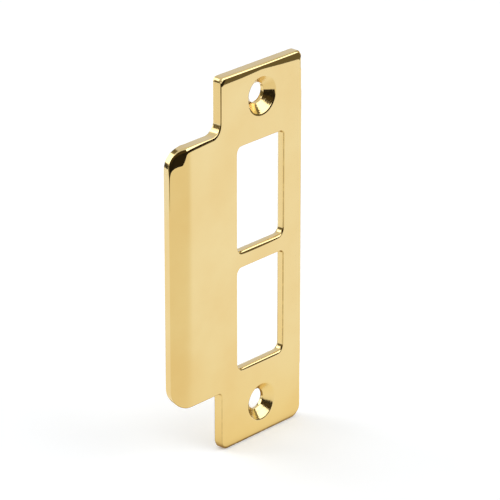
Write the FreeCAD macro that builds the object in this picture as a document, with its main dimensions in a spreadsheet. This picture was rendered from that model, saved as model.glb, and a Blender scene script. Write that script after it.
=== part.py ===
import FreeCAD, Part
import os
import Sketcher

# Door strike plate, one piece of brass sheet. Millimetres, +Z up as it is screwed to the jamb.
# The back face lies on the jamb in the plane Y = 0, the front face looks towards -Y, and the
# origin is midway between the two screws. The lip stands out on the -X side and turns back, +Y.

DIMENSIONS = {
    "plate_width": 25.4,
    "sheet_thickness": 2.5,
    "plate_corner_radius": 1.2,
    "window_width": 15.5,
    "window_height": 24.1,
    "window_corner_radius": 1.6,
    "bridge_height": 3.4,
    "window_to_screw": 9.7,
    "screw_to_end": 7.35,
    "screw_bore": 4.6,
    "countersink_diameter": 8.5,
    "countersink_angle": 100.0,
    "upper_shoulder": 12.65,
    "lower_shoulder": 13.85,
    "lip_flat": 9.0,
    "lip_tail": 3.1,
    "bend_angle": 19.0,
    "bend_radius": 5.0,
    "lip_corner_radius": 4.7,
    "upper_root_radius": 2.6,
    "lower_root_radius": 1.0,
    "front_edge_radius": 0.6,
    "back_edge_radius": 0.4,
    "window_edge_radius": 0.35,
}

# Points closer than this are the same point
TOLERANCE = 0.001

# Heights above the origin, which lies in the middle of the bridge between the windows
WINDOW_FOOT = "Sizes.bridge_height / 2"
SCREW_HEIGHT = "(Sizes.bridge_height / 2 + Sizes.window_height + Sizes.window_to_screw)"
PLATE_TOP = f"({SCREW_HEIGHT} + Sizes.screw_to_end)"

# Where a line or an arc is held, and the sketch's own origin and axes, in a constraint
START, END, CENTRE = range(1, 4)
ORIGIN = (-1, START)
X_AXIS, Y_AXIS = -1, -2

doc = FreeCAD.newDocument("strike_plate")
sheet = doc.addObject("Spreadsheet::Sheet", "Sizes")
for row, (alias, value) in enumerate(DIMENSIONS.items(), start=1):
    sheet.set(f"A{row}", alias)
    sheet.set(f"B{row}", str(value))
    sheet.setAlias(f"B{row}", alias)
doc.recompute()

body = doc.addObject("PartDesign::Body", "StrikePlate")
body.Label = "strike_plate"
body.Placement = FreeCAD.Placement()


def measure(formula):
    """The present value of a formula over the sizes."""
    return float(sheet.evalExpression(formula))


def newSketch(name, role):
    """A sketch that lies flat on one of the body's own origin planes."""
    sketch = body.newObject("Sketcher::SketchObject", name)
    plane = next(item for item in body.Origin.OriginFeatures if item.Role == role)
    sketch.AttachmentSupport = [(plane, "")]
    sketch.MapMode = "FlatFace"
    return sketch


def relate(sketch, kind, *where):
    sketch.addConstraint(Sketcher.Constraint(kind, *where))


def drive(sketch, name, formula, kind, *where):
    """A dimension of the sketch that takes its value from the sizes."""
    index = sketch.addConstraint(Sketcher.Constraint(kind, *where, measure(formula)))
    sketch.renameConstraint(index, name)
    sketch.setExpression(f"Constraints.{name}", formula)


def line(sketch, start, end):
    return sketch.addGeometry(Part.LineSegment(FreeCAD.Vector(*start), FreeCAD.Vector(*end)))


def arc(sketch, centre, start, end):
    """The quarter turn or less about the centre that runs anticlockwise from start to end."""
    middle = FreeCAD.Vector(*centre)
    spoke, lastSpoke = FreeCAD.Vector(*start) - middle, FreeCAD.Vector(*end) - middle
    circle = Part.Circle(middle, FreeCAD.Vector(0, 0, 1), spoke.Length)
    first, last = circle.parameter(middle + spoke), circle.parameter(middle + lastSpoke)
    return sketch.addGeometry(Part.ArcOfCircle(circle, first, last))


def addFeature(kind, name, grows, profile=None, formulas=None, **settings):
    """Adds a feature and makes sure that it adds or takes away metal as it is meant to."""
    before = body.Shape.Volume if body.Tip else 0.0
    feature = body.newObject(f"PartDesign::{kind}", name)
    if profile:
        feature.Profile = profile
    for setting, value in settings.items():
        setattr(feature, setting, value)
    for setting, formula in (formulas or {}).items():
        feature.setExpression(setting, formula)
    body.Tip = feature
    doc.recompute()
    after = feature.Shape.Volume
    if after == before or (after > before) != grows:
        raise RuntimeError(f"{name} works the wrong way, from {before:.2f} to {after:.2f} mm3")
    return feature


def roundEdges(name, chosen, radius, grows=False):
    """A fillet on those edges of the body that the test chooses."""
    base = body.Tip
    edges = [f"Edge{i}" for i, edge in enumerate(base.Shape.Edges, start=1) if chosen(edge)]
    return addFeature("Fillet", name, grows, formulas={"Radius": f"Sizes.{radius}"}, Base=(base, edges))


def near(first, second):
    return abs(first - second) < TOLERANCE


def middle(edge):
    return edge.valueAt((edge.FirstParameter + edge.LastParameter) / 2)


def alongY(edge):
    """True of a straight edge that crosses the thickness of the flat sheet."""
    start, end = edge.Vertexes[0].Point, edge.Vertexes[-1].Point
    return near(start.x, end.x) and near(start.z, end.z)


# The plate blank
halfWidth = measure("plate_width / 2")
plateTop = measure(PLATE_TOP)
plateOutline = newSketch("PlateOutline", "XZ_Plane")
corners = [(-halfWidth, -plateTop), (halfWidth, -plateTop), (halfWidth, plateTop), (-halfWidth, plateTop)]
sides = [line(plateOutline, a, b) for a, b in zip(corners, corners[1:] + corners[:1])]
for side, following in zip(sides, sides[1:] + sides[:1]):
    relate(plateOutline, "Coincident", side, END, following, START)
relate(plateOutline, "Horizontal", sides[0])
relate(plateOutline, "Vertical", sides[1])
relate(plateOutline, "Horizontal", sides[2])
relate(plateOutline, "Vertical", sides[3])
relate(plateOutline, "Symmetric", sides[0], START, sides[2], START, *ORIGIN)
drive(plateOutline, "width", "Sizes.plate_width", "DistanceX", sides[0], START, sides[0], END)
drive(plateOutline, "height", f"2 * {PLATE_TOP}", "DistanceY", sides[1], START, sides[1], END)
addFeature("Pad", "Plate", True, plateOutline, {"Length": "Sizes.sheet_thickness"})

# The lip, seen from above: flat beside the plate, a bend towards the jamb, then a straight tail.
# Its heel is on the plate's left edge, and front and back of the bend share one centre.
thickness = measure("sheet_thickness")
heel = -halfWidth
bendLine = heel - measure("lip_flat")
insideRadius = measure("bend_radius")
bendTurn = FreeCAD.Rotation(FreeCAD.Vector(0, 0, 1), -measure("bend_angle"))
bendCentre = FreeCAD.Vector(bendLine, insideRadius)
tail = bendTurn.multVec(FreeCAD.Vector(-measure("lip_tail"), 0))
backTurned = bendCentre + bendTurn.multVec(FreeCAD.Vector(0, -insideRadius))
frontTurned = bendCentre + bendTurn.multVec(FreeCAD.Vector(0, -insideRadius - thickness))
lipSection = newSketch("LipSection", "XY_Plane")
lipSection.setExpression("AttachmentOffset.Base.z", f"Sizes.lower_shoulder - {PLATE_TOP}")
frontFlat = line(lipSection, (heel, -thickness), (bendLine, -thickness))
frontBend = arc(lipSection, bendCentre, frontTurned, (bendLine, -thickness))
frontTail = line(lipSection, frontTurned, frontTurned + tail)
tip = line(lipSection, frontTurned + tail, backTurned + tail)
backTail = line(lipSection, backTurned + tail, backTurned)
backBend = arc(lipSection, bendCentre, backTurned, (bendLine, 0))
backFlat = line(lipSection, (bendLine, 0), (heel, 0))
root = line(lipSection, (heel, 0), (heel, -thickness))
for first, firstEnd, second, secondEnd in [
    (frontFlat, END, frontBend, END),
    (frontBend, START, frontTail, START),
    (backTail, END, backBend, START),
    (backBend, END, backFlat, START),
]:
    relate(lipSection, "Tangent", first, firstEnd, second, secondEnd)
for first, second in [(frontTail, tip), (tip, backTail), (backFlat, root), (root, frontFlat)]:
    relate(lipSection, "Coincident", first, END, second, START)
relate(lipSection, "Coincident", frontBend, CENTRE, backBend, CENTRE)
relate(lipSection, "Horizontal", frontFlat)
relate(lipSection, "Horizontal", backFlat)
relate(lipSection, "Vertical", root)
relate(lipSection, "Parallel", frontTail, backTail)
relate(lipSection, "Perpendicular", frontTail, tip)
relate(lipSection, "PointOnObject", root, START, X_AXIS)
drive(lipSection, "heel", "Sizes.plate_width / 2", "DistanceX", root, START, *ORIGIN)
drive(lipSection, "thickness", "Sizes.sheet_thickness", "DistanceY", root, END, root, START)
drive(lipSection, "flat", "Sizes.lip_flat", "DistanceX", frontFlat, END, frontFlat, START)
drive(lipSection, "tail", "Sizes.lip_tail", "Distance", frontTail)
drive(lipSection, "bend", "Sizes.bend_radius", "Radius", backBend)
drive(lipSection, "turn", "Sizes.bend_angle * 1 deg", "Angle", frontBend)
lipHeight = f"2 * {PLATE_TOP} - Sizes.lower_shoulder - Sizes.upper_shoulder"
addFeature("Pad", "Lip", True, lipSection, {"Length": lipHeight})
lipFoot = measure(f"Sizes.lower_shoulder - {PLATE_TOP}")
lipTop = measure(f"{PLATE_TOP} - Sizes.upper_shoulder")


# Corners in the flat sheet: the plate's four, the lip's two, and the two roots beside the lip
def plateCorner(edge):
    place = middle(edge)
    return alongY(edge) and near(abs(place.x), halfWidth) and near(abs(place.z), plateTop)


def lipCorner(edge):
    place = middle(edge)
    farEnd = (frontTurned + backTurned) / 2 + tail
    atEnd = near(place.x, farEnd.x) and near(place.y, farEnd.y)
    return atEnd and (near(place.z, lipFoot) or near(place.z, lipTop))


def rootAt(height):
    def chosen(edge):
        place = middle(edge)
        return alongY(edge) and near(place.x, heel) and near(place.z, height)

    return chosen


roundEdges("PlateCorners", plateCorner, "plate_corner_radius")
roundEdges("LipCorners", lipCorner, "lip_corner_radius")
roundEdges("UpperRoot", rootAt(lipTop), "upper_root_radius", grows=True)
roundEdges("LowerRoot", rootAt(lipFoot), "lower_root_radius", grows=True)


# The polished rims all round the outline, softer in front than at the back
def skinDepth(place):
    """How far a point lies in front of the back skin, measured square to the sheet."""
    spoke = place - bendCentre
    spoke.z = 0
    if spoke.x > 0:
        return -place.y
    along = bendTurn.multVec(FreeCAD.Vector(-1, 0))
    if spoke.dot(along) > 0:
        return spoke.dot(bendTurn.multVec(FreeCAD.Vector(0, -1))) - insideRadius
    return spoke.Length - insideRadius


def sharp(edge):
    """True where the two faces beside the edge meet at a corner and don't run smoothly on."""
    place = middle(edge)
    faces = body.Tip.Shape.ancestorsOfType(edge, Part.Face)
    first, second = [face.normalAt(*face.Surface.parameter(place)) for face in faces]
    return abs(first.dot(second)) < 1 - TOLERANCE


def rimAt(depth):
    def chosen(edge):
        ends = [vertex.Point for vertex in edge.Vertexes]
        return all(near(skinDepth(place), depth) for place in [middle(edge), *ends]) and sharp(edge)

    return chosen


roundEdges("FrontRim", rimAt(thickness), "front_edge_radius")
roundEdges("BackRim", rimAt(0), "back_edge_radius")

# The upper window, for the latch, and its mirror image below, for the bolt
windowOutline = newSketch("LatchWindow", "XZ_Plane")
left, sill = -measure("window_width / 2"), measure(WINDOW_FOOT)
right, head = -left, sill + measure("window_height")
bow = measure("window_corner_radius")
foot = line(windowOutline, (left + bow, sill), (right - bow, sill))
footRight = arc(windowOutline, (right - bow, sill + bow), (right - bow, sill), (right, sill + bow))
rightSide = line(windowOutline, (right, sill + bow), (right, head - bow))
headRight = arc(windowOutline, (right - bow, head - bow), (right, head - bow), (right - bow, head))
lintel = line(windowOutline, (right - bow, head), (left + bow, head))
headLeft = arc(windowOutline, (left + bow, head - bow), (left + bow, head), (left, head - bow))
leftSide = line(windowOutline, (left, head - bow), (left, sill + bow))
footLeft = arc(windowOutline, (left + bow, sill + bow), (left, sill + bow), (left + bow, sill))
loop = [foot, footRight, rightSide, headRight, lintel, headLeft, leftSide, footLeft]
for item, following in zip(loop, loop[1:] + loop[:1]):
    relate(windowOutline, "Tangent", item, END, following, START)
for item in (foot, lintel):
    relate(windowOutline, "Horizontal", item)
for item in (rightSide, leftSide):
    relate(windowOutline, "Vertical", item)
for item in (headRight, headLeft):
    relate(windowOutline, "Equal", footRight, item)
relate(windowOutline, "Symmetric", leftSide, END, rightSide, START, Y_AXIS)
drive(windowOutline, "corner", "Sizes.window_corner_radius", "Radius", footRight)
drive(windowOutline, "width", "Sizes.window_width", "DistanceX", leftSide, END, rightSide, START)
drive(windowOutline, "height", "Sizes.window_height", "DistanceY", foot, END, lintel, START)
drive(windowOutline, "sill", WINDOW_FOOT, "DistanceY", *ORIGIN, foot, START)
addFeature("Pocket", "LatchOpening", False, windowOutline, Type="ThroughAll", Reversed=True)
middlePlane = next(item for item in body.Origin.OriginFeatures if item.Role == "XY_Plane")
addFeature("Mirrored", "BoltOpening", False, Originals=[body.Tip], MirrorPlane=(middlePlane, [""]))


def windowRim(edge):
    place = middle(edge)
    return abs(place.x) < right + TOLERANCE and abs(place.z) < head + TOLERANCE and not alongY(edge)


roundEdges("WindowRims", windowRim, "window_edge_radius")

# Two screw holes on the centre line, countersunk from the front for flat-headed wood screws
screwPlaces = newSketch("ScrewPlaces", "XZ_Plane")
screwPlaces.setExpression("AttachmentOffset.Base.z", "Sizes.sheet_thickness")
screwHeight, boreRadius = measure(SCREW_HEIGHT), measure("screw_bore / 2")
upperScrew, lowerScrew = [
    screwPlaces.addGeometry(
        Part.Circle(FreeCAD.Vector(0, height), FreeCAD.Vector(0, 0, 1), boreRadius)
    )
    for height in (screwHeight, -screwHeight)
]
relate(screwPlaces, "PointOnObject", upperScrew, CENTRE, Y_AXIS)
relate(screwPlaces, "Symmetric", upperScrew, CENTRE, lowerScrew, CENTRE, *ORIGIN)
relate(screwPlaces, "Equal", upperScrew, lowerScrew)
drive(screwPlaces, "bore", "Sizes.screw_bore", "Diameter", upperScrew)
drive(screwPlaces, "height", SCREW_HEIGHT, "DistanceY", *ORIGIN, upperScrew, CENTRE)
doc.recompute()
holeFormulas = {
    "Diameter": "Sizes.screw_bore",
    "HoleCutDiameter": "Sizes.countersink_diameter",
    "HoleCutCountersinkAngle": "Sizes.countersink_angle * 1 deg",
}
addFeature(
    "Hole",
    "ScrewHoles",
    False,
    screwPlaces,
    holeFormulas,
    DepthType="ThroughAll",
    DrillPoint="Flat",
    HoleCutType="Countersink",
    HoleCutCustomValues=True,
)

for item in doc.Objects:
    if "Invalid" in item.State or "Error" in item.State:
        raise RuntimeError(f"{item.Label} failed: {item.State}")
solid = body.Shape
if solid.isNull() or not solid.isValid() or len(solid.Solids) != 1:
    raise RuntimeError("the strike plate is not one valid solid")

os.makedirs("parts", exist_ok=True)
solid.exportStep(f"parts/{body.Label}.step")
print(f"{body.Label}: {solid.Volume:.1f} mm3, {len(solid.Faces)} faces, {solid.BoundBox}")
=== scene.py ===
import math
import bmesh
import bpy
import numpy as np
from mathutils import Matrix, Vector
from mathutils.geometry import delaunay_2d_cdt


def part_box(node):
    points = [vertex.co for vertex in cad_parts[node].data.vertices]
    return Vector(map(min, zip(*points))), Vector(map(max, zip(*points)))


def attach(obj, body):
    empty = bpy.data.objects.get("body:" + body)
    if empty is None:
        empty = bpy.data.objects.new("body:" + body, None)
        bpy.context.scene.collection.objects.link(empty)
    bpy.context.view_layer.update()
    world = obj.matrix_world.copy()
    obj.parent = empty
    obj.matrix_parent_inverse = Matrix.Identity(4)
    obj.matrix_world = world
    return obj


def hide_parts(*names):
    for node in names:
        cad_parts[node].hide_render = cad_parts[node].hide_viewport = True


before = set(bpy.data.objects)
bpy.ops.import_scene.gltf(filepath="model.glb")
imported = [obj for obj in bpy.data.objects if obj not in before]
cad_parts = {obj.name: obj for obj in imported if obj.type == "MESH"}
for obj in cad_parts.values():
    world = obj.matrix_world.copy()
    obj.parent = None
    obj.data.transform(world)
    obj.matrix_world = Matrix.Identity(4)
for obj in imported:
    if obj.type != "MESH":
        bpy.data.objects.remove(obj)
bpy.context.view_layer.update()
plateLow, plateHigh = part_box("strike_plate")
mm = 0.001                                  # lengths below are in millimetres and become metres with this


# Small helpers: colours and nodes

def linear(hexColour):                      # sRGB hex to the linear colour that Blender's sockets take
    channels = np.array([int(hexColour[k:k + 2], 16) for k in (0, 2, 4)]) / 255
    curve = np.where(channels <= 0.04045, channels / 12.92, ((channels + 0.055) / 1.055) ** 2.4)
    return (*curve.tolist(), 1.0)


def addNode(tree, kind, settings=None, links=None):     # one node, its settings, and what feeds its inputs
    node = tree.nodes.new(kind)
    for key, value in (settings or {}).items():
        if isinstance(key, str) and hasattr(node, key):
            setattr(node, key, value)
        else:
            node.inputs[key].default_value = value
    for key, source in (links or {}).items():
        tree.links.new(source, node.inputs[key])
    return node


def newMaterial(name):
    material = bpy.data.materials.new(name)
    material.use_nodes = True
    material.node_tree.nodes.clear()
    return material, material.node_tree


# Brass

brass = {
    "colour": "efd89e",                     # clean yellow brass
    "warmColour": "ecd092",                 # where the polish has warmed and toned it a little
    "roughness": 0.055,                     # fine buffed
    "edgeRoughness": 0.12,                  # sheared edges, buffed less
    "turnedRoughness": 0.15,                # across the rings in the countersinks
    "turnedStretch": 0.85,                  # how much smoother they are along the rings
    "darkArrisColour": "4a3617",              # painted dark line on arrises; painted shade on the bottoms
    "darkArrisSize": 1.3,                     # mm, its breaks
    "darkArrisBreaks": (0.38, 0.52),          # the noise values between which it goes from thin to full
    "darkArrisLeast": 0.45,                   # how much is left where it is thin
    "toneSize": 14.0,                       # mm, patches of tone
    "toneRange": (0.35, 0.7),               # the noise values between which the tone goes from clean to warm
    "buffWidth": 0.35,                      # mm, buffing lines; real ones are near 0.05 mm, too fine to see
    "buffLength": 9.0,                      # mm
    "buffDepth": 0.00012,                   # mm
    "waveSize": 11.0,                       # mm, slow unevenness of rolled and buffed sheet
    "waveDepth": 0.0035,                    # mm
    "turnPitch": 0.30,                      # mm, rings left by the countersink tool; real ones, near 0.08 mm,
                                            # are too fine to see
    "turnDepth": 0.045,                     # mm
}


def polishedBrass(name, b, turned):
    # Rolled brass sheet, blanked, then buffed bright: a mirror with a soft edge to what it shows, slightly
    # uneven, with faint lines along the plate and a dark line painted along some arrises, which along the
    # bottoms is painted shade. In the countersinks the tool's fine rings spread what the metal shows across
    # them, and not along them.
    material, tree = newMaterial(name)
    place = addNode(tree, "ShaderNodeTexCoord").outputs["Object"]
    tone = addNode(tree, "ShaderNodeTexNoise", {"Scale": 1 / (b["toneSize"] * mm), "Detail": 3.0},
                   {"Vector": place})
    toneShare = addNode(tree, "ShaderNodeMapRange",
                        {"From Min": b["toneRange"][0], "From Max": b["toneRange"][1]},
                        {"Value": tone.outputs["Fac"]})
    clean = addNode(tree, "ShaderNodeMix",
                    {"data_type": "RGBA", 6: linear(b["colour"]), 7: linear(b["warmColour"])},
                    {0: toneShare.outputs["Result"]})
    waves = addNode(tree, "ShaderNodeTexNoise", {"Scale": 1 / (b["waveSize"] * mm), "Detail": 0.0},
                    {"Vector": place})
    waveBump = addNode(tree, "ShaderNodeBump", {"Strength": 1.0, "Distance": b["waveDepth"] * mm},
                       {"Height": waves.outputs["Fac"]})
    surface = addNode(tree, "ShaderNodeBsdfPrincipled", {"Metallic": 1.0})
    if turned:
        depth = addNode(tree, "ShaderNodeAttribute", {"attribute_name": "turned"})
        slant = addNode(tree, "ShaderNodeAttribute", {"attribute_name": "slant"})
        pitch = addNode(tree, "ShaderNodeMath", {"operation": "DIVIDE", 1: b["turnPitch"]},
                        {0: depth.outputs["Fac"]})
        rings = addNode(tree, "ShaderNodeTexNoise", {"noise_dimensions": "1D", "Scale": 1.0, "Detail": 2.0},
                        {"W": pitch.outputs["Value"]})
        bump = addNode(tree, "ShaderNodeBump", {"Strength": 1.0, "Distance": b["turnDepth"] * mm},
                       {"Height": rings.outputs["Fac"], "Normal": waveBump.outputs["Normal"]})
        surface.inputs["Roughness"].default_value = b["turnedRoughness"]
        surface.inputs["Anisotropic"].default_value = b["turnedStretch"]
        tree.links.new(slant.outputs["Vector"], surface.inputs["Tangent"])
        tree.links.new(clean.outputs[2], surface.inputs["Base Color"])
    else:
        edge = addNode(tree, "ShaderNodeAttribute", {"attribute_name": "edge"})
        roughness = addNode(tree, "ShaderNodeMapRange",
                            {"To Min": b["roughness"], "To Max": b["edgeRoughness"]},
                            {"Value": edge.outputs["Fac"]})
        perMm = 1 / (b["buffWidth"] * mm)
        stretched = addNode(tree, "ShaderNodeMapping", {"Scale": (perMm, perMm, 1 / (b["buffLength"] * mm))},
                            {"Vector": place})
        lines = addNode(tree, "ShaderNodeTexNoise", {"Scale": 1.0, "Detail": 2.0},
                        {"Vector": stretched.outputs["Vector"]})
        bump = addNode(tree, "ShaderNodeBump", {"Strength": 1.0, "Distance": b["buffDepth"] * mm},
                       {"Height": lines.outputs["Fac"], "Normal": waveBump.outputs["Normal"]})
        arris = addNode(tree, "ShaderNodeAttribute", {"attribute_name": "arris"})
        breaks = addNode(tree, "ShaderNodeTexNoise", {"Scale": 1 / (b["darkArrisSize"] * mm), "Detail": 1.0},
                         {"Vector": place})
        thin, full = b["darkArrisBreaks"]
        left = addNode(tree, "ShaderNodeMapRange",
                       {"From Min": thin, "From Max": full, "To Min": b["darkArrisLeast"]},
                       {"Value": breaks.outputs["Fac"]})
        # painted darkness along the arrises; along the plate's and the lip's bottom it is painted shade
        darkArrisShare = addNode(tree, "ShaderNodeMath", {"operation": "MULTIPLY"},
                          {0: arris.outputs["Fac"], 1: left.outputs["Result"]})
        colour = addNode(tree, "ShaderNodeMix", {"data_type": "RGBA", 7: linear(b["darkArrisColour"])},
                         {0: darkArrisShare.outputs["Value"], 6: clean.outputs[2]})
        tree.links.new(roughness.outputs["Result"], surface.inputs["Roughness"])
        tree.links.new(colour.outputs[2], surface.inputs["Base Color"])
    tree.links.new(bump.outputs["Normal"], surface.inputs["Normal"])
    addNode(tree, "ShaderNodeOutputMaterial", None, {"Surface": surface.outputs["BSDF"]})
    return material


# The strike plate

plate = {
    "cornerRadius": 1.2,                    # at the plate's top
    "footRadii": (2.2, 2.7),                # at its bottom, left and right, where the corners are rounder
    "windowWidth": 15.5,
    "windowHeight": 24.1,
    "windowRadii": [1.6, 0.9, 1.6, 1.6],    # lower right, upper right, upper left, lower left
    "bridge": 3.4,                          # metal between the two windows
    # the screw holes' heights, and how far off the countersink's centre (across, up) the bore and its mouth
    # at the back are
    "screws": [{"height": 35.67, "start": (-0.03, 0.13), "end": (-0.10, 0.34)},
               {"height": -35.3, "start": (-0.1, 0.26), "end": (0.0, 0.22)}],
    "bore": 4.6,
    "mouthDepth": 0.3,                      # from the back
    "countersink": 8.5,
    "countersinkAngle": 100.0,
    "lipTop": 30.2,
    "lipBottom": -29.0,
    "lipFlat": 9.0,                         # from the plate's left edge to the bend
    "lipTail": 3.09,                        # straight end past the bend
    "bendAngle": 19.0,
    "bendRadius": 5.0,                      # inside the bend, at the back
    "lipRadius": 4.7,
    "upperRoot": 2.6,
    "lowerRoot": 1.0,
    "topDrop": (0.23, 0.38),                # worn off the top edge at its left and right ends
    "leftRim": 0.24,                        # rounding of the front rim along the sides
    "rightRim": 0.45,
    "footRim": 0.83,                        # along the plate's bottom
    "lipFootRim": 0.32,                     # along the lip's bottom
    "topRim": [1.95, 1.75, 1.25, 1.85, 2.3],    # along the plate's top, left to right: worn wider
    "topDepth": 0.8,                        # how deep that reaches into the sheet
    "topPower": 2.6,
    "lipRim": [1.3, 1.1, 0.8],              # along the lip's top, from its corner to the root, and how deep
    "lipDepth": [0.62, 0.95, 0.5, 0.25, 0.2],
    "lipCornerRim": 3.2,                    # at the lip's upper corner, where the wheel has cut the most
    "lipCornerAngle": 132.0,                # degrees, the direction of that cut, and how far round it goes
    "lipCornerAbove": 32.0,
    "lipCornerBelow": 34.0,
    "lipCornerPowers": (4.0, 2.6),          # how sharply it ends above and below
    "lipCornerFacet": 0.7,                  # how much less rounded the rim is there
    "cornerInset": (0.24, 0.9),             # from the sides to where the top's rim ends, left and right
    "cornerSpread": 1.6,                    # below the top's rim, along which the side's rim meets it
    "rimDepth": 0.62,                       # how deep the other wider rims reach into the sheet
    "backRim": 0.4,                         # at the back, and along the top, the lip and the lower left side
    "topBackRim": 0.2,
    "lipBackRim": 0.15,
    "lowBackRim": 0.6,
    "jambRim": (0.15, 0.3),                 # of the windows' left and right sides
    "headRim": (0.5, 0.3),                  # of the upper and the lower window's top
    "ledgeRim": ((1.25, 1.1, 0.8), (1.0, 1.05, 1.05)),      # along their lower edges, left to right
    "ledgeFade": 0.5,                       # how much narrower that is at its ends
    "windowBackRim": (0.35, 0.15),
    "tighter": ((0.8, 0.38), (0.87, 0.58)), # how much narrower and lower they are in front than at the back
    "ledgeBehind": (0.0, 0.12),             # how much of that is left at the back of their lower edges
    "breakDepth": 1.0,                      # from the back, where the punch broke out and they widen
    "coneRim": 0.85,                        # between the face and the countersink
    # darkness painted on the front arrises, as shares: on the upper left side between two heights, along
    # the plate's and the lip's bottom, on the lower left side and on the windows' right sides. Along the
    # bottoms it is painted shade, the shade where the plate stands as the downward rims would show it
    "darkLeftHeights": (34.0, 41.0),
    "darkLeft": (0.15, 0.8),
    "paintedFootShade": 0.75,
    "paintedLipShade": 0.6,
    "darkLowLeft": 0.22,
    "darkJamb": 0.35,
    "rimSteps": 15,                         # across each front rim
    "spacing": 0.8,                         # along the rims
    "grid": 0.6,                            # of the flats, and how much closer its rows are
    "rowShare": 0.87,
    # how far it keeps from the outline, the windows and the countersinks
    "gridClear": {"outline": 0.9, "window": 1.1, "screw": 0.6},
}


def roundedLoop(corners, radii, spacing, arcSteps=14):
    # Closed path, anticlockwise: at each corner an arc of its radius, and even steps along each straight run.
    # Gives its points and the directions that point out of it. An arc's directions are the first one turned
    # by even steps of the corner's angle.
    corners = np.array(corners, float)
    arrive = corners - np.roll(corners, 1, axis=0)
    arrive /= np.linalg.norm(arrive, axis=1)[:, None]
    leave = np.roll(arrive, -1, axis=0)
    turn = np.arctan2(arrive[:, 0] * leave[:, 1] - arrive[:, 1] * leave[:, 0], (arrive * leave).sum(axis=1))
    cut = np.array(radii) * np.tan(np.abs(turn) / 2)
    points, outward = [], []
    for k, corner in enumerate(corners):
        following = (k + 1) % len(corners)
        start = corner - arrive[k] * cut[k]
        end = corner + leave[k] * cut[k]
        out = np.array([arrive[k][1], -arrive[k][0]])
        centre = start - out * np.sign(turn[k]) * radii[k]
        angle = np.linspace(0, turn[k], arcSteps + 1)[:, None]
        cosine, sine = np.cos(angle), np.sin(angle)
        spin = np.hstack([out[0] * cosine - out[1] * sine, out[0] * sine + out[1] * cosine])
        target = corners[following] - leave[k] * cut[following]
        count = max(1, round(np.linalg.norm(target - end) / spacing))
        share = (np.arange(1, count) / count)[:, None]
        points += [centre + spin * np.sign(turn[k]) * radii[k], end + (target - end) * share]
        outward += [spin, np.repeat([[leave[k][1], -leave[k][0]]], count - 1, axis=0)]
    return np.vstack(points), np.vstack(outward)


def circleLoop(centre, radius, steps=112):
    # A circle with even steps, and the directions that point out of it.
    angle = np.linspace(0, 2 * math.pi, steps, endpoint=False)
    out = np.stack([np.cos(angle), np.sin(angle)], axis=1)
    return np.array(centre) + out * radius, out


def quarter(steps):                         # angles of a quarter turn
    return np.linspace(0, math.pi / 2, steps + 1)


def rimProfile(p, wide, deep, back, thickness, power=2.0, guard=0.06):
    # Across a rim, from the front flat to the back one: a quarter ellipse, wide along the face and deep into
    # the sheet, the wall with points at its break, and a quarter circle. wide, deep, back and power have a
    # value for each point of the path. With inset u and depth v as shares left to go, u to the power plus v
    # to the power (or squared, where the power is under 2) is 1: less leaves the face more sharply, more
    # makes a tighter arris. The guards keep the smooth shading of a rim off the flats beside it.
    a = quarter(p["rimSteps"])
    b = quarter(6)[1:]
    wide, deep, back, power = (np.broadcast_to(v, np.shape(wide))[:, None] for v in (wide, deep, back, power))
    each = np.ones_like(wide)
    wallEnd, wallBreak = thickness - back, each * (thickness - p["breakDepth"])
    wall = each * np.zeros(5)
    inset = np.hstack([wide + guard, wide * (1 - np.sin(a)), wall, back * (1 - np.cos(b)), back + guard])
    reach = np.maximum(1 - np.minimum(np.sin(a), 1) ** power, 0) ** (1 / np.maximum(power, 2))
    depth = np.hstack([each * 0, deep * (1 - reach), deep + guard, wallBreak - guard, wallBreak,
                       wallEnd - guard, wallEnd, wallEnd + back * np.sin(b), each * thickness])
    return inset, depth


def smoothed(values, times=2):              # evens out steps along a closed path
    for _ in range(times):
        values = (np.roll(values, 1, axis=0) + 2 * values + np.roll(values, -1, axis=0)) / 4
    return values


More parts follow.
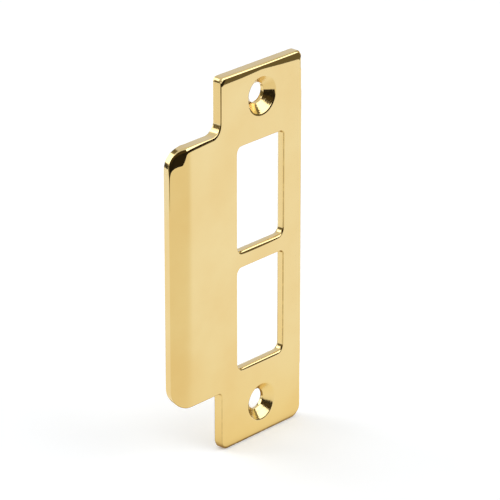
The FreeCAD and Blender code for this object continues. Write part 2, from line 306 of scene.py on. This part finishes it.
def wornRim(p, outline, outward, left, right, lipEnd):
    # Width, depth, power and back rounding of the rim round the outline, and how dark its arris is
    # painted, which along the bottoms is painted shade.
    # The wheel has worn the upward edges most, and the lip's upper corner: there the angle round the corner,
    # carried on along the straight edges beside it, sets the cut, which falls off with a high power of the
    # angle above and a lower one below.
    across, height = outline.T
    onPlate, underLip = height > p["lipTop"] + p["upperRoot"] + 1, height < p["lipBottom"] - 1
    along = np.clip((across - lipEnd) / (left - lipEnd), 0, 1)
    side = np.where(across > 0, p["rightRim"], p["leftRim"])
    head = np.where(onPlate, np.interp(across, np.linspace(left, right, len(p["topRim"])), p["topRim"]),
                    np.interp(along, np.linspace(0, 1, len(p["lipRim"])), p["lipRim"]))
    foot = np.where(underLip, p["footRim"], p["lipFootRim"])
    upward, downward = np.clip(outward[:, 1], 0, 1) ** 2, np.clip(-outward[:, 1], 0, 1) ** 2
    wide = side + upward * (head - side) + downward * (foot - side)
    turned = np.degrees(np.arctan2(outward[:, 1], outward[:, 0])) % 360
    beyond = (np.maximum(p["lipTop"] - p["lipRadius"] - height, 0)
              - np.maximum(across - lipEnd - p["lipRadius"], 0))
    around = turned + np.degrees(beyond / p["lipRadius"]) - p["lipCornerAngle"]
    reach = np.where(around > 0, p["lipCornerBelow"], p["lipCornerAbove"])
    sharpAbove, sharpBelow = p["lipCornerPowers"]
    corner = np.exp(-np.abs(around / reach) ** np.where(around > 0, sharpBelow, sharpAbove))
    corner = np.where((across < (lipEnd + left) / 2) & (outward[:, 1] > -0.01), corner, 0)
    wide = wide + corner * (p["lipCornerRim"] - wide)
    lipDepth = np.interp(along, np.linspace(0, 1, len(p["lipDepth"])), p["lipDepth"])
    most = np.where(onPlate, p["topDepth"], np.where(underLip, p["rimDepth"], lipDepth))
    most = np.maximum(most, corner * p["rimDepth"])
    power = np.where(onPlate, 2 + upward * (p["topPower"] - 2), 2 - p["lipCornerFacet"] * corner)
    back = np.where(across < left - 0.5, p["lipBackRim"], p["backRim"])
    back = np.where(onPlate & (outward[:, 1] > 0.7), p["topBackRim"], back)
    back = np.where(underLip & (across < 0) & (outward[:, 1] > -0.7), p["lowBackRim"], back)
    fade = np.interp(height, p["darkLeftHeights"], p["darkLeft"])
    arrisDarkness = np.where(onPlate & (across < 0), fade * (1 - upward), 0)
    # painted shade along the plate's and the lip's bottom
    arrisDarkness = arrisDarkness + downward * np.where(underLip, p["paintedFootShade"], p["paintedLipShade"])
    arrisDarkness = arrisDarkness + np.where(underLip & (across < 0), p["darkLowLeft"] * (1 - downward), 0)
    return wide, np.minimum(wide, most), power, smoothed(back), arrisDarkness


def topCorners(p, outline, outward, wide, left, right, top):
    # Where each point's rim begins on the flat, as a vector for each mm of its inset. Round the plate's top
    # corners the wide rim runs straight out to the sides: there every point of the corner's arc has its
    # beginning on the rim's own level line, and those of the side below are spread over what is left.
    across, height = outline.T
    begin = outline - outward * wide[:, None]
    radius = p["cornerRadius"]
    for sign, edge, rim, drop, reach in zip((-1, 1), (left, right), p["cornerInset"], p["topDrop"],
                                            (p["topRim"][0], p["topRim"][-1])):
        below = top - drop - height
        spread = reach + p["cornerSpread"]
        near = (np.abs(across - edge) < radius + 0.001) & (below < spread) & (sign * outward[:, 0] > 0.02)
        sine = np.clip(sign * outward[:, 0], 0, 1)
        x = edge - sign * (radius - (radius - rim) * sine)
        share = (below - radius) / (spread - radius)
        down = np.where(below < radius, reach, reach + share * (spread - reach))
        begin = np.where(near[:, None], np.stack([x, top - drop - down], axis=1), begin)
    return (outline - begin) / wide[:, None]


def screwProfile(p, thickness, backCrisp=0.1, guard=0.05):
    # Across a screw hole from the front flat: a small rounding, the cone, the bore, and a small rounding.
    reach = (p["countersink"] - p["bore"]) / 2
    half = math.radians(p["countersinkAngle"] / 2)
    coneDepth = reach / math.tan(half)
    rim = p["coneRim"]
    a = np.linspace(0, math.pi / 2 - half, 6)
    b = quarter(3)[1:]
    tangent = rim * math.tan((math.pi / 2 - half) / 2)
    share = np.linspace(tangent * math.sin(half) / reach + 0.03, 0.98, 9)
    inset = np.concatenate([[reach + tangent + guard], reach + tangent - rim * np.sin(a), reach * (1 - share),
                            [0, 0, 0, 0], backCrisp * (1 - np.cos(b)), [backCrisp + guard]])
    end = thickness - backCrisp
    depth = np.concatenate([[0], rim * (1 - np.cos(a)), coneDepth * share,
                            [coneDepth, coneDepth + guard, thickness - p["mouthDepth"], end],
                            end + backCrisp * np.sin(b), [thickness]])
    return inset[None, :], depth[None, :]


def carry(points, outward, profile, inward=None, steps=0):
    # A profile carried along a closed path: each point moves in from the path by the inset and back by the
    # depth. The first steps of it may move in along directions of their own. Gives a grid of (along, depth,
    # height) points in the flat pattern.
    inset, depth = (np.broadcast_to(part, (len(points), part.shape[1])) for part in profile)
    flat = points[:, None, :] - outward[:, None, :] * inset[:, :, None]
    if inward is not None:
        flat[:, :steps] = points[:, None, :] - inward[:, None, :] * inset[:, :steps, None]
    return np.stack([flat[:, :, 0], depth, flat[:, :, 1]], axis=2)


def stripFaces(rows, columns, first):       # quads of a grid whose rows close on themselves
    index = first + np.arange(rows * columns).reshape(rows, columns)
    after = np.roll(index, -1, axis=0)
    return np.stack([index[:, :-1], after[:, :-1], after[:, 1:], index[:, 1:]], axis=2).reshape(-1, 4)


def roundedBoxDistance(points, centre, half, radius):
    # Distance to a rectangle with round corners, negative inside it.
    over = np.abs(points - np.array(centre)) - np.array(half) + radius
    return np.linalg.norm(np.maximum(over, 0), axis=1) + np.minimum(over.max(axis=1), 0) - radius


def fillFlat(loops, inner, depth):
    # The flat between the outline and its openings: a grid of points, joined to the loops by triangulation.
    # A triangle is kept where it lies in the outline and in no opening.
    every = np.vstack([*loops, inner])
    starts = np.cumsum([0] + [len(loop) for loop in loops])
    rings = [list(range(starts[k], starts[k + 1])) for k in range(len(loops))]
    places = [Vector(xy) for xy in every.tolist()]
    points, _, faces, _, _, inside = delaunay_2d_cdt(places, [], rings, 0, 1e-7)
    flat = np.array(points)
    kept = [list(face) for face, owners in zip(faces, inside) if list(owners) == [0]]
    return np.stack([flat[:, 0], np.full(len(flat), depth), flat[:, 1]], axis=1), kept


def bendSheet(flat, p, left, thickness):
    # Flat pattern to place: past the bend line the sheet turns back round an arc about a point behind it,
    # radius growing towards the front, and then runs straight.
    along, depth, height = flat.T
    line = left - p["lipFlat"]
    outer = p["bendRadius"] + thickness
    angle = math.radians(p["bendAngle"])
    past = np.maximum(line - along, 0)
    turned = np.minimum(past / outer, angle)
    tail = past - turned * outer
    radius = outer - depth
    across = np.maximum(along, line) - radius * np.sin(turned) - tail * math.cos(angle)
    back = p["bendRadius"] - radius * np.cos(turned) + tail * math.sin(angle)
    return np.stack([across, back, height], axis=1)


def strikePlate(p):
    right, top, thickness = plateHigh.x / mm, plateHigh.z / mm, -plateLow.y / mm
    left = -right
    lipEnd = left - p["lipFlat"] - (p["bendRadius"] + thickness) * math.radians(p["bendAngle"]) - p["lipTail"]
    outline, outward = roundedLoop(
        [(right, -top), (right, top - p["topDrop"][1]), (left, top - p["topDrop"][0]), (left, p["lipTop"]),
         (lipEnd, p["lipTop"]), (lipEnd, p["lipBottom"]), (left, p["lipBottom"]), (left, -top)],
        [p["footRadii"][1], p["cornerRadius"], p["cornerRadius"], p["upperRoot"], p["lipRadius"],
         p["lipRadius"], p["lowerRoot"], p["footRadii"][0]], p["spacing"])
    wide, deep, power, back, arrisDarkness = wornRim(p, outline, outward, left, right, lipEnd)
    front = p["rimSteps"] + 2               # columns of the front rim in each grid
    inward = topCorners(p, outline, outward, wide, left, right, top)
    grids = [carry(outline, outward, rimProfile(p, wide, deep, back, thickness, power), inward, front)]
    arris = [arrisDarkness]
    halfWindow = (p["windowWidth"] / 2, p["windowHeight"] / 2)
    windowMiddle = (p["bridge"] + p["windowHeight"]) / 2
    for k, sign in enumerate((1, -1)):
        low, high = sign * windowMiddle - halfWindow[1], sign * windowMiddle + halfWindow[1]
        window, away = roundedLoop([(halfWindow[0], low), (halfWindow[0], high), (-halfWindow[0], high),
                                    (-halfWindow[0], low)], p["windowRadii"], p["spacing"], 10)
        ledge, head = np.clip(-away[:, 1], 0, 1) ** 2, np.clip(away[:, 1], 0, 1) ** 2
        share = window[:, 0] / halfWindow[0]
        ledgeRim = np.interp(share, [-1, 0, 1], p["ledgeRim"][k]) * (1 - p["ledgeFade"] * share ** 4)
        jamb = np.where(share > 0, p["jambRim"][1], p["jambRim"][0])
        rim = jamb + head * (p["headRim"][k] - jamb) + ledge * (np.maximum(ledgeRim, jamb) - jamb)
        rim = smoothed(rim, 1)
        backRim = p["jambRim"][1] + ledge * (p["windowBackRim"][k] - p["jambRim"][1])
        grid = carry(window, -away, rimProfile(p, rim, np.minimum(rim, p["rimDepth"]), backRim, thickness))
        # the punch left the opening tighter in front: its right side and lower edge stand in, up to the break
        tight = np.interp(grid[:, :, 1], [0, thickness - p["breakDepth"], thickness], [1, 1, 0])
        rightward, downward = grid[:, :, 0] / halfWindow[0] + 1, (high - grid[:, :, 2]) / halfWindow[1]
        narrower, higher = p["tighter"][k]
        behind = p["ledgeBehind"][k]
        grid[:, :, 0] -= narrower * tight * rightward / 2
        grid[:, :, 2] += (behind + (higher - behind) * tight) * downward / 2
        grids.append(grid)
        arris.append(p["darkJamb"] * np.clip(away[:, 0], 0, 1) ** 2)
    coneDepth = (p["countersink"] - p["bore"]) / 2 / math.tan(math.radians(p["countersinkAngle"] / 2))
    for hole in p["screws"]:
        circle, away = circleLoop((0, hole["height"]), p["bore"] / 2)
        screw = carry(circle, -away, screwProfile(p, thickness))
        depths = [0, coneDepth, thickness - p["mouthDepth"], thickness]
        for axis, start, end in zip((0, 2), hole["start"], hole["end"]):
            screw[:, :, axis] += np.interp(screw[:, :, 1], depths, [0, start, start, end])
        grids.append(screw)

    step, room = p["grid"], p["gridClear"]
    columns, rows = np.meshgrid(np.arange(lipEnd, right, step), np.arange(-top, top, step * p["rowShare"]))
    columns = columns + (np.arange(len(rows)) % 2)[:, None] * step / 2      # staggered, so triangles are even
    inner = np.stack([columns.ravel(), rows.ravel()], axis=1)
    lipMiddle, lipHalf = (p["lipTop"] + p["lipBottom"]) / 2, (p["lipTop"] - p["lipBottom"]) / 2
    toPlate = roundedBoxDistance(inner, (0, 0), (right, top), p["footRadii"][1])
    toLip = roundedBoxDistance(inner, (lipEnd / 2, lipMiddle), (-lipEnd / 2, lipHalf), p["lipRadius"])
    clear = np.minimum(toPlate, toLip) < -room["outline"]
    for sign, hole in zip((1, -1), p["screws"]):
        toWindow = roundedBoxDistance(inner, (0, sign * windowMiddle), halfWindow, p["windowRadii"][0])
        toScrew = np.hypot(inner[:, 0], inner[:, 1] - hole["height"]) - p["countersink"] / 2
        clear &= (toWindow > room["window"]) & (toScrew > room["screw"])
    inner = inner[clear]

    points, faces, edge, turned, dark, slant, first = [], [], [], [], [], [], 0
    bump = np.sin(2 * quarter(p["rimSteps"])) ** 2      # the painted darkness lies along the middle of a rim
    for k, grid in enumerate(grids):
        count = grid.shape[0] * grid.shape[1]
        points.append(grid.reshape(-1, 3))
        faces += stripFaces(grid.shape[0], grid.shape[1], first).tolist()
        onEdge, onArris = np.zeros(grid.shape[:2]), np.zeros(grid.shape[:2])
        if k < 3:
            onEdge[:, front - 1:-1] = 1
            onArris[:, 1:front] = arris[k][:, None] * bump
        edge.append(onEdge.ravel())
        dark.append(onArris.ravel())
        turned.append((grid[:, :, 1] * (k > 2)).ravel())
        slope = np.gradient(grid, axis=1)
        slant.append((slope / np.linalg.norm(slope, axis=2)[:, :, None]).reshape(-1, 3))
        first += count
    for column, depth in ((0, 0.0), (-1, thickness)):
        flat, triangles = fillFlat([grid[:, column][:, [0, 2]] for grid in grids], inner, depth)
        points.append(flat)
        faces += (np.array(triangles) + first).tolist()
        for values in (edge, dark, turned):
            values.append(np.zeros(len(flat)))
        slant.append(np.tile([0.0, 0.0, 1.0], (len(flat), 1)))
        first += len(flat)
    places = bendSheet(np.vstack(points), p, left, thickness) * mm

    mesh = bpy.data.meshes.new("brass_strike_plate")
    mesh.from_pydata(places.tolist(), [], faces)
    for name, values in (("edge", edge), ("turned", turned), ("arris", dark)):
        attribute = mesh.attributes.new(name, "FLOAT", "POINT")
        attribute.data.foreach_set("value", np.concatenate(values).astype(np.float32))
    attribute = mesh.attributes.new("slant", "FLOAT_VECTOR", "POINT")
    attribute.data.foreach_set("vector", np.vstack(slant).astype(np.float32).ravel())
    # the cones' faces, by the depth of their deepest point
    deepest = np.concatenate(turned)[np.array([face[:3] for face in faces])].max(axis=1)
    inCone = (deepest > 0.1) & (deepest < coneDepth + 0.001)
    mesh.polygons.foreach_set("material_index", inCone.astype(np.int32))
    made = bmesh.new()
    made.from_mesh(mesh)
    bmesh.ops.remove_doubles(made, verts=made.verts, dist=0.001 * mm)
    bmesh.ops.delete(made, geom=[v for v in made.verts if not v.link_faces], context="VERTS")
    bmesh.ops.recalc_face_normals(made, faces=made.faces)
    print("open edges:", sum(not e.is_manifold for e in made.edges), "faces:", len(made.faces),
          "volume mm3:", round(made.calc_volume() / mm ** 3, 1))
    made.to_mesh(mesh)
    made.free()
    mesh.shade_smooth()
    piece = bpy.data.objects.new("brass_strike_plate", mesh)
    bpy.context.scene.collection.objects.link(piece)
    return piece


piece = strikePlate(plate)
piece.data.materials.append(polishedBrass("rolled_brass_buffed_bright", brass, False))
piece.data.materials.append(polishedBrass("brass_countersunk_with_fine_rings", brass, True))
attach(piece, "root")
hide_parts("strike_plate")
print("strike plate made")


# Studio: directions are given round the plate, 0 in front of it and growing towards its right side

studio = {
    "backwards": 132.0,                     # degrees, straight behind the plate as the camera sees it
    "tableLeft": 1400.0,                    # mm, the white table's reach from the plate
    "tableRight": 262.0,
    "tableBack": 900.0,
    "tableFront": [(60.0, 0.0), (168.0, 6.0)],      # mm towards the camera, and how far it has dropped
    "tableColour": "f2f4f6",
    "cameraLift": 0.17,                     # the white that it gives of itself to the camera, and to metal
    "shinyLift": 0.04,
    "ambient": 0.72,
    "bounce": 0.5,                          # how bright the room is to metal that lights the table
    "wallColour": "6e664f",
    "ceilingColour": "e0dfdc",
    "roomSides": 48,
    "roomRadius": 1500.0,
    "roomLow": -900.0,
    "roomHigh": 1300.0,
}

# Soft lights: where each stands as seen from the plate, its distance along the ground, size and brightness
lamps = {
    "key_light": {"direction": 27.5, "height": 37.0, "distance": 550.0,
                  "width": 650.0, "tall": 455.0, "level": 2.2},
    "rear_light": {"direction": -155.5, "height": 31.8, "distance": 520.0,
                   "width": 410.0, "tall": 555.0, "level": 2.0},
}

# Cards that only reflections show: where they stand, how far, their size in degrees and their colour
cards = {
    "pale_backdrop": {"direction": 132.0, "height": 22.0, "distance": 1300.0,
                      "wide": 54.0, "tall": 54.0, "colour": "dedfe8"},
    "black_flag": {"direction": -42.0, "height": 2.0, "distance": 1250.0,
                   "wide": 80.0, "tall": 74.0, "colour": "24201a"},
    "black_flag_right": {"direction": 15.0, "height": 0.0, "distance": 1250.0,
                         "wide": 54.0, "tall": 42.0, "colour": "2b251c"},
    # painted reflection: a glowing golden card standing in for the brass's own light reflected into the
    # countersinks
    "brass_reflection_card": {"direction": 80.0, "height": 10.0, "distance": 900.0,
                       "wide": 24.0, "tall": 22.0, "colour": "ecdb9f"},
    "brown_flag_above": {"direction": -24.0, "height": 25.0, "distance": 1200.0,
                         "wide": 60.0, "tall": 30.0, "colour": "453a24"},
    "light_stand": {"direction": -169.0, "height": -8.0, "distance": 300.0,
                    "wide": 24.0, "tall": 24.0, "colour": "3a332a"},
}

# The light and shade that the brass throws on the table, which shiny surfaces show: each takes its share of
# red, green and blue away from white
glow = {
    "foot": (0.03, 0.12, 0.36),             # golden, by the plate's foot
    "footReach": 25.0,                      # mm from the foot in which it falls to about a third
    "contact": (0.65, 0.74, 0.84),          # the shade where the plate stands
    "contactReach": 0.6,
    "under": (0.14, 0.17, 0.22),            # under the lip
    "underReach": 2.5,
    "ahead": (0.10, 0.16, 0.31),            # further in front of the plate
    "aheadReach": 30.0,
    "leftward": 320.0,                      # mm, the sheet of table that carries it
    "towards": 168.0,
    "behind": 60.0,
}


def direction(degrees, height=0.0):         # unit vector towards a compass direction and height
    a, e = math.radians(degrees), math.radians(height)
    return Vector((math.sin(a) * math.cos(e), -math.cos(a) * math.cos(e), math.sin(e)))


def stageMesh(name, points, faces, material, onlyReflected=False):
    mesh = bpy.data.meshes.new(name)
    mesh.from_pydata(points, [], faces)
    mesh.materials.append(material)
    thing = bpy.data.objects.new(name, mesh)
    bpy.context.scene.collection.objects.link(thing)
    if onlyReflected:
        thing.visible_camera = thing.visible_diffuse = False
        thing.visible_shadow = thing.visible_transmission = False
    return thing


def glowing(name, hexColour, s):
    # One plain colour in reflections. Metal that lights the table throws on it the soft light of the whole
    # studio, so there the surface has the room's mean brightness.
    material, tree = newMaterial(name)
    path = addNode(tree, "ShaderNodeLightPath")
    fromTable = addNode(tree, "ShaderNodeMath", {"operation": "GREATER_THAN", 1: 0.5},
                        {0: path.outputs["Diffuse Depth"]})
    colour = addNode(tree, "ShaderNodeMix",
                     {"data_type": "RGBA", 6: linear(hexColour), 7: (*[s["bounce"]] * 3, 1)},
                     {0: fromTable.outputs["Value"]})
    light = addNode(tree, "ShaderNodeEmission", {"Strength": 1.0}, {"Color": colour.outputs[2]})
    addNode(tree, "ShaderNodeOutputMaterial", None, {"Surface": light.outputs["Emission"]})
    return material


def seenDirectly(tree):                     # 1 for a ray from the camera, and 1 for one from metal or glass
    path = addNode(tree, "ShaderNodeLightPath")
    shiny = addNode(tree, "ShaderNodeMath", {"operation": "ADD", "use_clamp": True},
                    {0: path.outputs["Is Glossy Ray"], 1: path.outputs["Is Transmission Ray"]})
    return path.outputs["Is Camera Ray"], shiny.outputs["Value"]


def tablePaint(s):
    # Matt white paint: lit by the lamps, so it keeps the plate's shadow, and lifted to white for the camera
    # and for shiny surfaces, which show the same background.
    material, tree = newMaterial("table_matt_white")
    camera, shiny = seenDirectly(tree)
    toShiny = addNode(tree, "ShaderNodeMath", {"operation": "MULTIPLY", 1: s["shinyLift"]}, {0: shiny})
    level = addNode(tree, "ShaderNodeMath", {"operation": "MULTIPLY_ADD", 1: s["cameraLift"]},
                    {0: camera, 2: toShiny.outputs["Value"]})
    paint = addNode(tree, "ShaderNodeBsdfDiffuse", {"Color": linear(s["tableColour"])})
    lift = addNode(tree, "ShaderNodeEmission", None, {"Strength": level.outputs["Value"]})
    both = addNode(tree, "ShaderNodeAddShader", None, {0: paint.outputs["BSDF"], 1: lift.outputs["Emission"]})
    addNode(tree, "ShaderNodeOutputMaterial", None, {"Surface": both.outputs["Shader"]})
    return material


def tableGlow(g, away, rightward, ground, tableRight):
    # A sheet just above the table that only reflections show. Each point's colour is white less what the
    # glows and shades take: two fall off with the distance from the plate's foot, one with that from the
    # ground under the lip, and the last grows towards the camera. Its points are closer near the plate.
    side = np.linspace(-1, 1, 121)
    across = np.where(side < 0, g["leftward"], tableRight) * side * np.abs(side)
    deep = np.concatenate([-g["towards"] * np.linspace(1, 0, 80)[:-1] ** 2,
                           g["behind"] * np.linspace(0, 1, 40) ** 2])
    across, deep = (part.ravel() for part in np.meshgrid(across, deep))
    x = (rightward.x * across + away.x * deep)
    y = (rightward.y * across + away.y * deep)
    fromFoot = np.hypot(np.maximum(np.abs(x) - plateHigh.x / mm, 0), np.minimum(y - plateLow.y / mm, 0))
    fromLip = np.hypot(np.maximum(np.maximum(plateLow.x / mm - x, x + plateHigh.x / mm), 0),
                       np.maximum(np.maximum(plateLow.y / mm - y, y - plateHigh.y / mm), 0))
    foot = np.exp(-fromFoot / g["footReach"])[:, None] * g["foot"]
    contact = np.exp(-fromFoot / g["contactReach"])[:, None] * g["contact"]
    under = np.exp(-fromLip / g["underReach"])[:, None] * g["under"]
    ahead = (1 - np.exp(-(np.minimum(deep, 0) / g["aheadReach"]) ** 2))[:, None] * g["ahead"]
    colour = np.hstack([(1 - foot) * (1 - contact) * (1 - under) * (1 - ahead), np.ones((len(x), 1))])
    points = np.stack([x * mm, y * mm, np.full(len(x), ground + 0.1 * mm)], axis=1)
    index = np.arange(len(x)).reshape(-1, len(side))
    faces = np.stack([index[:-1, :-1], index[:-1, 1:], index[1:, 1:], index[1:, :-1]], axis=2).reshape(-1, 4)
    material, tree = newMaterial("table_lit_by_brass")
    tint = addNode(tree, "ShaderNodeAttribute", {"attribute_name": "glow"})
    light = addNode(tree, "ShaderNodeEmission", {"Strength": 1.0}, {"Color": tint.outputs["Color"]})
    addNode(tree, "ShaderNodeOutputMaterial", None, {"Surface": light.outputs["Emission"]})
    sheet = stageMesh("table_glow", points.tolist(), faces.tolist(), material, True)
    attribute = sheet.data.attributes.new("glow", "FLOAT_COLOR", "POINT")
    attribute.data.foreach_set("color", colour.ravel().astype(np.float32))


def whiteWorld(s):
    # White where the camera, metal or glass sees it, and a plain soft light otherwise
    world = bpy.data.worlds.new("studio")
    world.use_nodes = True
    tree = world.node_tree
    tree.nodes.clear()
    camera, shiny = seenDirectly(tree)
    seen = addNode(tree, "ShaderNodeMath", {"operation": "ADD"}, {0: camera, 1: shiny})
    level = addNode(tree, "ShaderNodeMapRange", {"To Min": s["ambient"], "To Max": 1.0},
                    {"Value": seen.outputs["Value"]})
    sky = addNode(tree, "ShaderNodeBackground", {"Color": (1, 1, 1, 1)},
                  {"Strength": level.outputs["Result"]})
    addNode(tree, "ShaderNodeOutputWorld", None, {"Surface": sky.outputs["Background"]})
    bpy.context.scene.world = world


def areaLight(name, lamp):
    # An upright rectangular soft light of the given brightness, turned to the plate
    size = (lamp["width"] * mm, lamp["tall"] * mm)
    data = bpy.data.lights.new(name, "AREA")
    data.shape = "RECTANGLE"
    data.size, data.size_y = size
    data.energy = lamp["level"] * math.pi * size[0] * size[1]
    thing = bpy.data.objects.new(name, data)
    towards = direction(lamp["direction"])
    rise = Vector((0, 0, math.tan(math.radians(lamp["height"]))))
    thing.location = (towards + rise) * lamp["distance"] * mm
    thing.rotation_euler = towards.to_track_quat("Z", "Y").to_euler()
    bpy.context.scene.collection.objects.link(thing)
    thing.visible_camera = False


def card(name, c, s):
    # A flat card facing the plate: its half sizes are its distance times the tangents of its half angles
    towards = direction(c["direction"], c["height"])
    side = direction(c["direction"] + 90)
    up = side.cross(towards)
    middle = towards * c["distance"] * mm
    across = side * (c["distance"] * mm * math.tan(math.radians(c["wide"] / 2)))
    upward = up * (c["distance"] * mm * math.tan(math.radians(c["tall"] / 2)))
    corners = [middle - across - upward, middle + across - upward,
               middle + across + upward, middle - across + upward]
    stageMesh(name, corners, [(0, 1, 2, 3)], glowing(name, c["colour"], s), True)


def buildStudio(s):
    ground = plateLow.z
    away, rightward = direction(s["backwards"]), direction(s["backwards"] - 90)
    rows = [(-s["tableBack"], 0.0), *s["tableFront"]]
    points = [away * -forward * mm + rightward * reach * mm + Vector((0, 0, ground - drop * mm))
              for forward, drop in rows for reach in (-s["tableLeft"], s["tableRight"])]
    faces = [(2 * k + 2, 2 * k + 3, 2 * k + 1, 2 * k) for k in range(len(rows) - 1)]
    stageMesh("table", points, faces, tablePaint(s))
    tableGlow(glow, away, rightward, ground, s["tableRight"])

    # The room: a round wall, a floor and a ceiling that only reflections show
    sides = s["roomSides"]
    angle = np.linspace(0, 2 * math.pi, sides, endpoint=False)
    ring = np.stack([np.sin(angle), -np.cos(angle)], axis=1) * s["roomRadius"] * mm
    points = [(*xy, z * mm) for z in (s["roomLow"], s["roomHigh"]) for xy in ring.tolist()]
    walls = [(k, (k + 1) % sides, sides + (k + 1) % sides, sides + k) for k in range(sides)]
    disc = [tuple(range(sides))]
    stageMesh("room_walls", points, walls + disc, glowing("wall_dark_cloth", s["wallColour"], s), True)
    ceiling = glowing("ceiling_pale_grey", s["ceilingColour"], s)
    stageMesh("room_ceiling", points[sides:], disc, ceiling, True)
    for name, c in cards.items():
        card(name, c, s)
    for name, lamp in lamps.items():
        areaLight(name, lamp)
    whiteWorld(s)


buildStudio(studio)
print("studio made")


# Camera

view = {
    "azimuth": -47.85,                      # degrees round the plate
    "elevation": 22.75,
    "distance": 766.0,                      # mm
    "aim": (-1.36, -0.33, 0.24),            # mm, the point in the middle of the picture
    "lens": 257.96,
    "sensor": 36.0,
}


def placeCamera(v):
    data = bpy.data.cameras.new("camera")
    data.lens, data.sensor_width = v["lens"], v["sensor"]
    data.clip_start, data.clip_end = 0.01, 20
    camera = bpy.data.objects.new("camera", data)
    back = direction(v["azimuth"], v["elevation"])
    camera.location = Vector(v["aim"]) * mm + back * v["distance"] * mm
    camera.rotation_euler = back.to_track_quat("Z", "Y").to_euler()
    bpy.context.scene.collection.objects.link(camera)
    bpy.context.scene.camera = camera


placeCamera(view)
bpy.context.scene.view_settings.view_transform = "Standard"
print("camera placed")
